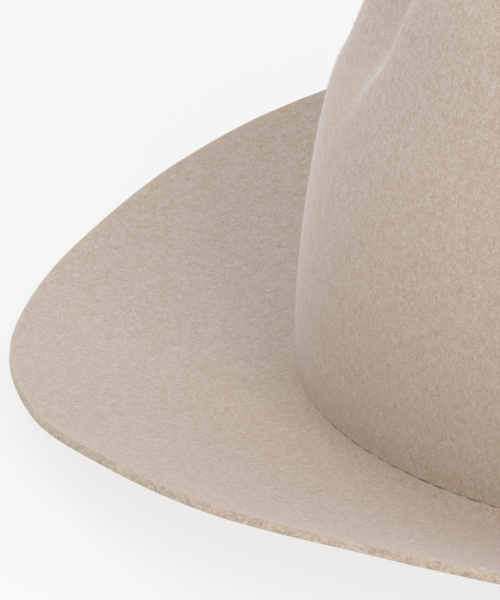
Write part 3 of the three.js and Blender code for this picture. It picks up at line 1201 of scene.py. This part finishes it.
@dataclass
class WoolHairs:
    """Pale hairs that stand up from the felt, each a tapered three-sided strand.

    Lengths are in millimetres, and the lift off the felt is in degrees. Hairs grow between two
    rows of the crown's table and between two shares of the brim's width. On the raw cut they tilt
    up or down, start a little inside it and keep off its two rims and the floor.
    """

    form: HatForm
    name: str
    count: int
    length: tuple
    thickness: float
    lift: tuple
    curl: float
    seed: int
    joints: int = 3
    ground: HairGround = HairGround.FACE
    crown_rows: tuple = (0.6, 12.0)
    brim_shares: tuple = (0.04, 0.98)
    step: float = 0.004
    cut_tilt: float = 0.3
    cut_margin: float = 0.1
    root_depth: float = 0.15
    floor_gap: float = 0.2
    droop: float = 0.4
    taper: float = 0.7

    def cut_roots(self, dice: np.random.Generator) -> tuple:
        """Scatters the hairs' roots over the raw cut round the brim.

        Args:
            dice: The seeded source of chance.

        Returns:
            The roots, the directions out of the cut there, and one direction along it.
        """
        angle = dice.uniform(0, math.tau, self.count)
        root = self.form.brim(angle, 1.0)
        out = root - self.form.brim(angle, self.brim_shares[1])
        tilt = dice.uniform(-self.cut_tilt, self.cut_tilt, self.count)
        out[:, 2] = tilt * np.linalg.norm(out, axis=1)
        out /= np.linalg.norm(out, axis=1, keepdims=True)
        around = self.form.brim(angle + self.step, 1.0) - root
        around /= np.linalg.norm(around, axis=1, keepdims=True)
        root[:, 2] -= dice.uniform(self.cut_margin, self.form.felt - self.cut_margin, self.count)
        root[:, 2] = np.maximum(root[:, 2], self.floor_gap)
        return root - out * self.root_depth, out, around

    @staticmethod
    def between(limits: tuple, share: np.ndarray) -> np.ndarray:
        """Gives the places at these shares of the way between two limits."""
        return limits[0] + (limits[1] - limits[0]) * share

    def face_roots(self, dice: np.random.Generator) -> tuple:
        """Scatters the hairs' roots over the crown and the brim's top face, half on each.

        Args:
            dice: The seeded source of chance.

        Returns:
            The roots, the felt's outward directions there, and one direction along it.
        """
        angle = dice.uniform(0, math.tau, self.count)
        place = dice.uniform(0, 1, self.count)
        on_crown = dice.uniform(0, 1, self.count) < 0.5

        def spot(turn: np.ndarray, share: np.ndarray) -> np.ndarray:
            """Gives each hair's place, on the crown or the brim."""
            crown = self.form.crown(turn, self.between(self.crown_rows, share))
            brim = self.form.brim(turn, self.between(self.brim_shares, share))
            return np.where(on_crown[:, None], crown, brim)

        root = spot(angle, place)
        around = spot(angle + self.step, place) - root
        along = spot(angle, place + self.step) - root
        out = np.cross(around, along) * np.where(on_crown, 1, -1)[:, None]
        out /= np.linalg.norm(out, axis=1, keepdims=True)
        around /= np.linalg.norm(around, axis=1, keepdims=True)
        return root, out, around

    def corners(self) -> np.ndarray:
        """Works out the corners of every hair, three at each joint.

        Returns:
            The corners hair by hair, in metres.
        """
        dice = np.random.default_rng(self.seed)
        scatter = self.cut_roots if self.ground is HairGround.CUT else self.face_roots
        root, out, around = scatter(dice)
        across = np.cross(out, around)
        turn = dice.uniform(0, math.tau, self.count)[:, None]
        lean = around * np.cos(turn) + across * np.sin(turn)
        side = -around * np.sin(turn) + across * np.cos(turn)
        lift = np.radians(dice.uniform(*self.lift, self.count))[:, None]
        length = dice.uniform(*self.length, self.count)[:, None]
        bend = dice.normal(0, self.curl, self.count)[:, None]
        corners = []
        for joint in range(self.joints):
            share = joint / (self.joints - 1)
            rise = np.sin(lift) * share * (1 - self.droop * share)
            reach = lean * share * np.cos(lift) + out * rise + side * bend * share**2
            radius = self.thickness / 2 * (1 - self.taper * share)
            for swing in np.arange(3) * math.tau / 3:
                ring = out * math.cos(swing) + side * math.sin(swing)
                corners.append(root + length * reach + radius * ring)
        return np.stack(corners, 1).reshape(-1, 3) * MM

    def faces(self) -> list[tuple]:
        """Lists the faces of every hair: its two ends and three sides between joints.

        Returns:
            The corners' numbers for each face.
        """
        step = 3 * self.joints
        faces = [(0, 1, 2), (step - 1, step - 2, step - 3)]
        for joint in range(self.joints - 1):
            for corner in range(3):
                low, next_low = 3 * joint + corner, 3 * joint + (corner + 1) % 3
                faces.append((low, low + 3, next_low + 3, next_low))
        starts = range(0, self.count * step, step)
        return [tuple(index + start for index in face) for start in starts for face in faces]

    def build(self) -> bpy.types.Object:
        """Grows the hairs into one joined mesh.

        Returns:
            The hairs.
        """
        mesh = bpy.data.meshes.new(self.name)
        mesh.from_pydata(self.corners().tolist(), [], self.faces())
        mesh.materials.append(PALE_WOOL.shared())
        piece = bpy.data.objects.new(self.name, mesh)
        bpy.context.scene.collection.objects.link(piece)
        Shop.take(piece)
        bpy.ops.object.mode_set(mode="EDIT")
        bpy.ops.mesh.select_all(action="SELECT")
        bpy.ops.mesh.normals_make_consistent(inside=False)
        bpy.ops.object.mode_set(mode="OBJECT")
        Shop.seat(piece, "felt")
        return piece


@dataclass(frozen=True)
class Softbox:
    """A large square light: its name, its place in metres, its power in watts and its colour."""

    name: str
    place: tuple
    power: float
    colour: tuple
    size: float = 1.6


SOFTBOXES = (
    Softbox("front_softbox", (-2.0, -2.0, 1.8), power=18.6, colour=(0.93, 1.01, 1.11)),
    Softbox("back_softbox", (2.0, 2.0, 1.8), power=33.5, colour=(1.01, 1.0, 1.01)),
    Softbox("side_fill", (3.0, -0.3, 0.9), power=4.0, colour=(1.0, 1.0, 1.0)),
)


@dataclass
class Studio:
    """Camera, lights and the plain pale floor.

    The camera's angles are in degrees, and its distance and the place that it looks at are in
    millimetres, measured from the point midway under the crown.
    """

    form: HatForm
    azimuth: float = 107.2
    elevation: float = 26.0
    roll: float = -0.2
    distance: float = 1500.0
    aim_right: float = -111.94
    aim_up: float = 20.32
    lens: float = 405.0
    sensor: float = 36.0
    clip: tuple = (0.05, 100.0)
    floor_half: float = 12.0
    floor_colour: tuple = (0.20, 0.20, 0.20, 1)
    floor_glow: float = 0.735
    sky: float = 0.79

    def axes(self) -> tuple:
        """Gives the camera's back, right and up directions before its roll."""
        turn, tilt = math.radians(self.azimuth), math.radians(self.elevation)
        level = Vector((math.sin(turn), -math.cos(turn), 0))
        back = level * math.cos(tilt) + Vector((0, 0, math.sin(tilt)))
        right = Vector((math.cos(turn), math.sin(turn), 0))
        return back, right, back.cross(right)

    def camera(self) -> bpy.types.Object:
        """Sets the camera at the photograph's angle, aimed at the middle of its frame.

        Returns:
            The camera.
        """
        back, right, up = self.axes()
        lean = math.radians(self.roll)
        rolled_right = right * math.cos(lean) + up * math.sin(lean)
        rolled_up = -right * math.sin(lean) + up * math.cos(lean)
        place = rolled_right * self.aim_right + rolled_up * self.aim_up + back * self.distance
        place -= Vector(self.form.middle)
        data = bpy.data.cameras.new("camera")
        data.lens, data.sensor_width = self.lens, self.sensor
        data.clip_start, data.clip_end = self.clip
        made = bpy.data.objects.new("camera", data)
        bpy.context.scene.collection.objects.link(made)
        turn = Matrix((rolled_right, rolled_up, back)).transposed().to_4x4()
        made.matrix_world = Matrix.Translation(place * MM) @ turn
        bpy.context.scene.camera = made
        return made

    def floor(self) -> bpy.types.Object:
        """Lays the plain pale floor.

        Returns:
            The floor.
        """
        Shop.deselect()
        bpy.ops.mesh.primitive_plane_add(size=2 * self.floor_half, location=(0, 0, 0))
        made = bpy.context.object
        made.name = "floor"
        paper, web = blank_material("pale_floor")
        matte = web.add("ShaderNodeBsdfDiffuse", {"Color": self.floor_colour})
        glow = web.add("ShaderNodeEmission", {"Strength": self.floor_glow})
        both = web.add("ShaderNodeAddShader", {0: matte.outputs[0], 1: glow.outputs[0]})
        web.add("ShaderNodeOutputMaterial", {"Surface": both.outputs[0]})
        made.data.materials.append(paper)
        return made

    @staticmethod
    def hang(box: Softbox) -> None:
        """Hangs one soft light so that it faces the hat.

        Args:
            box: The light's sizes.
        """
        data = bpy.data.lights.new(box.name, "AREA")
        data.size, data.energy, data.color = box.size, box.power, box.colour
        made = bpy.data.objects.new(box.name, data)
        bpy.context.scene.collection.objects.link(made)
        made.location = box.place
        made.rotation_euler = (-Vector(box.place)).to_track_quat("-Z", "Y").to_euler()
        made.visible_camera = False

    def light(self) -> None:
        """Fills the studio with a pale dome and large soft lights around the hat."""
        world = bpy.data.worlds.new("dome")
        world.use_nodes = True
        web = Web(world.node_tree)
        sky = web.add("ShaderNodeBackground", {"Color": (1, 1, 1, 1), "Strength": self.sky})
        web.add("ShaderNodeOutputWorld", {"Surface": sky.outputs[0]})
        bpy.context.scene.world = world
        for box in SOFTBOXES:
            self.hang(box)
        bpy.context.scene.view_settings.view_transform = "Standard"
        bpy.context.scene.view_settings.look = "None"

    def build(self) -> None:
        """Sets up the camera, the floor and the lights."""
        self.camera()
        self.floor()
        self.light()


def main() -> None:
    """Builds the hat and its studio in order."""
    logging.basicConfig(level=logging.INFO, format="%(name)s: %(message)s")
    form = HatForm()
    Studio(form).build()
    FeltHat(form).build()
    Sweatband(form).build()
    StitchRow(form).build()
    for hairs in (
        WoolHairs(form, "short_fuzz", 13000, length=(0.7, 1.8), thickness=0.08,
                  lift=(8.0, 50.0), curl=0.35, seed=11),
        WoolHairs(form, "raised_nap", 24000, length=(0.35, 0.8), thickness=0.05,
                  lift=(45.0, 88.0), curl=0.25, seed=17, joints=2),
        WoolHairs(form, "stray_hairs", 260, length=(1.6, 5.0), thickness=0.11,
                  lift=(3.0, 14.0), curl=0.45, seed=23, joints=6),
        WoolHairs(form, "cut_fuzz", 6000, length=(0.4, 0.9), thickness=0.07,
                  lift=(10.0, 70.0), curl=0.35, seed=31, ground=HairGround.CUT),
    ):
        hairs.build()


if __name__ == "__main__":
    main()
